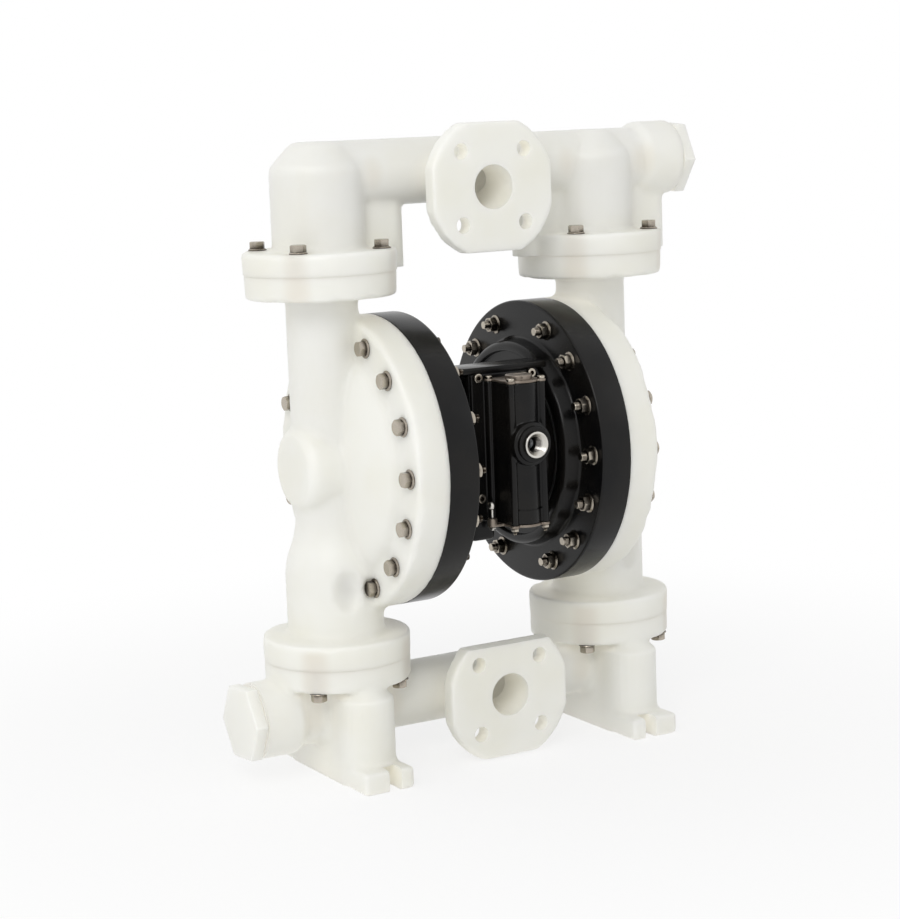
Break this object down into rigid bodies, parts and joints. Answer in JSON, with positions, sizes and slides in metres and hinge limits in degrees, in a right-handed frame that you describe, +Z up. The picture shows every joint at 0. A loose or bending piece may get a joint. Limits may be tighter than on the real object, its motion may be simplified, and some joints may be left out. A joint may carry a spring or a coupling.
{
  "type": "air operated double diaphragm pump",
  "caption": "Air operated diaphragm pump: two round diaphragm chambers on a common shaft between flanged inlet and outlet manifolds with ball check valves.",
  "frame": {"origin": "on the floor, under the middle of the diaphragm shaft", "axes": "+Z up, +X along the shaft to the right chamber, -Y to the front, where both ports face"},
  "size_m": [0.6414, 0.3494, 0.7645],
  "materials": {
    "white_plastic": "natural milky moulded polypropylene, satin",
    "black_plastic": "black moulded plastic, satin",
    "stainless": "stainless fasteners, plain",
    "brass_insert": "machined",
    "gasket_rubber": "moulded",
    "seat_plastic": "moulded",
    "ball_plastic": "smooth turned",
    "diaphragm_rubber": "smooth white sheet",
    "plate_aluminium": "machined",
    "bush_plastic": "machined",
    "cap_metal": "dull dark",
    "insert_steel": "bright machined"
  },
  "bodies": {
    "pump": {"inlet_manifold": "white_plastic", "outlet_manifold": "white_plastic", "inlet_plug": "white_plastic", "outlet_plug": "white_plastic", "plug_gaskets": "seat_plastic", "left_fluid_cap": "white_plastic", "right_fluid_cap": "white_plastic", "left_air_cap": "black_plastic", "right_air_cap": "black_plastic", "left_cap_bolts": "stainless", "right_cap_bolts": "stainless", "left_cap_nuts": "stainless", "right_cap_nuts": "stainless", "outlet_manifold_bolts": "stainless", "inlet_manifold_bolts": "stainless", "thread_inserts": "brass_insert", "inlet_ball_seats": "seat_plastic", "outlet_ball_seats": "seat_plastic", "seat_rings": "gasket_rubber", "left_diaphragm": "diaphragm_rubber", "right_diaphragm": "diaphragm_rubber", "shaft_bushes": "bush_plastic", "shaft_seals": "gasket_rubber", "pilot_rod_bushes": "bush_plastic", "hub_screws": "stainless", "hub_gaskets": "gasket_rubber", "center_body": "black_plastic", "valve_gasket": "gasket_rubber", "valve_body": "black_plastic", "valve_top_cap": "cap_metal", "valve_bottom_cap": "cap_metal", "valve_mount_screws": "stainless", "valve_screws": "stainless", "air_inlet_insert": "insert_steel", "valve_sleeve": "plate_aluminium"},
    "diaphragm_rod": {"diaphragm_shaft": "stainless", "left_inner_plate": "plate_aluminium", "right_inner_plate": "plate_aluminium", "left_outer_plate": "white_plastic", "right_outer_plate": "white_plastic", "plate_nuts": "stainless"},
    "pilot_rod": {"pilot_rod": "stainless"},
    "spool": {"air_valve_spool": "plate_aluminium", "spool_seals": "gasket_rubber"},
    "reset_pin": {"reset_pin": "stainless"},
    "left_inlet_ball": {"left_inlet_ball": "ball_plastic"},
    "right_inlet_ball": {"right_inlet_ball": "ball_plastic"},
    "left_outlet_ball": {"left_outlet_ball": "ball_plastic"},
    "right_outlet_ball": {"right_outlet_ball": "ball_plastic"}
  },
  "joints": [
    {"name": "shaft_slide", "type": "slide", "parent": "pump", "child": "diaphragm_rod", "axis": [1, 0, 0], "range_m": [-0.02, 0.02], "deforming": ["left_diaphragm", "right_diaphragm"]},
    {"name": "pilot_rod_slide", "type": "slide", "parent": "pump", "child": "pilot_rod", "axis": [1, 0, 0], "range_m": [-0.004, 0.004]},
    {"name": "spool_slide", "type": "slide", "parent": "pump", "child": "spool", "axis": [0, 0, 1], "range_m": [0, 0.014]},
    {"name": "reset_pin_slide", "type": "slide", "parent": "pump", "child": "reset_pin", "axis": [0, 0, 1], "range_m": [-0.004, 0], "stiffness_N_per_m": 400, "springref_m": 0.002},
    {"name": "left_inlet_ball_lift", "type": "slide", "parent": "pump", "child": "left_inlet_ball", "axis": [0, 0, 1], "range_m": [0, 0.014]},
    {"name": "right_inlet_ball_lift", "type": "slide", "parent": "pump", "child": "right_inlet_ball", "axis": [0, 0, 1], "range_m": [0, 0.014]},
    {"name": "left_outlet_ball_lift", "type": "slide", "parent": "pump", "child": "left_outlet_ball", "axis": [0, 0, 1], "range_m": [0, 0.014]},
    {"name": "right_outlet_ball_lift", "type": "slide", "parent": "pump", "child": "right_outlet_ball", "axis": [0, 0, 1], "range_m": [0, 0.014]}
  ],
  "couplings": [
    {"joint": "pilot_rod_slide", "follows": "shaft_slide", "ratio": 0.2}
  ]
}
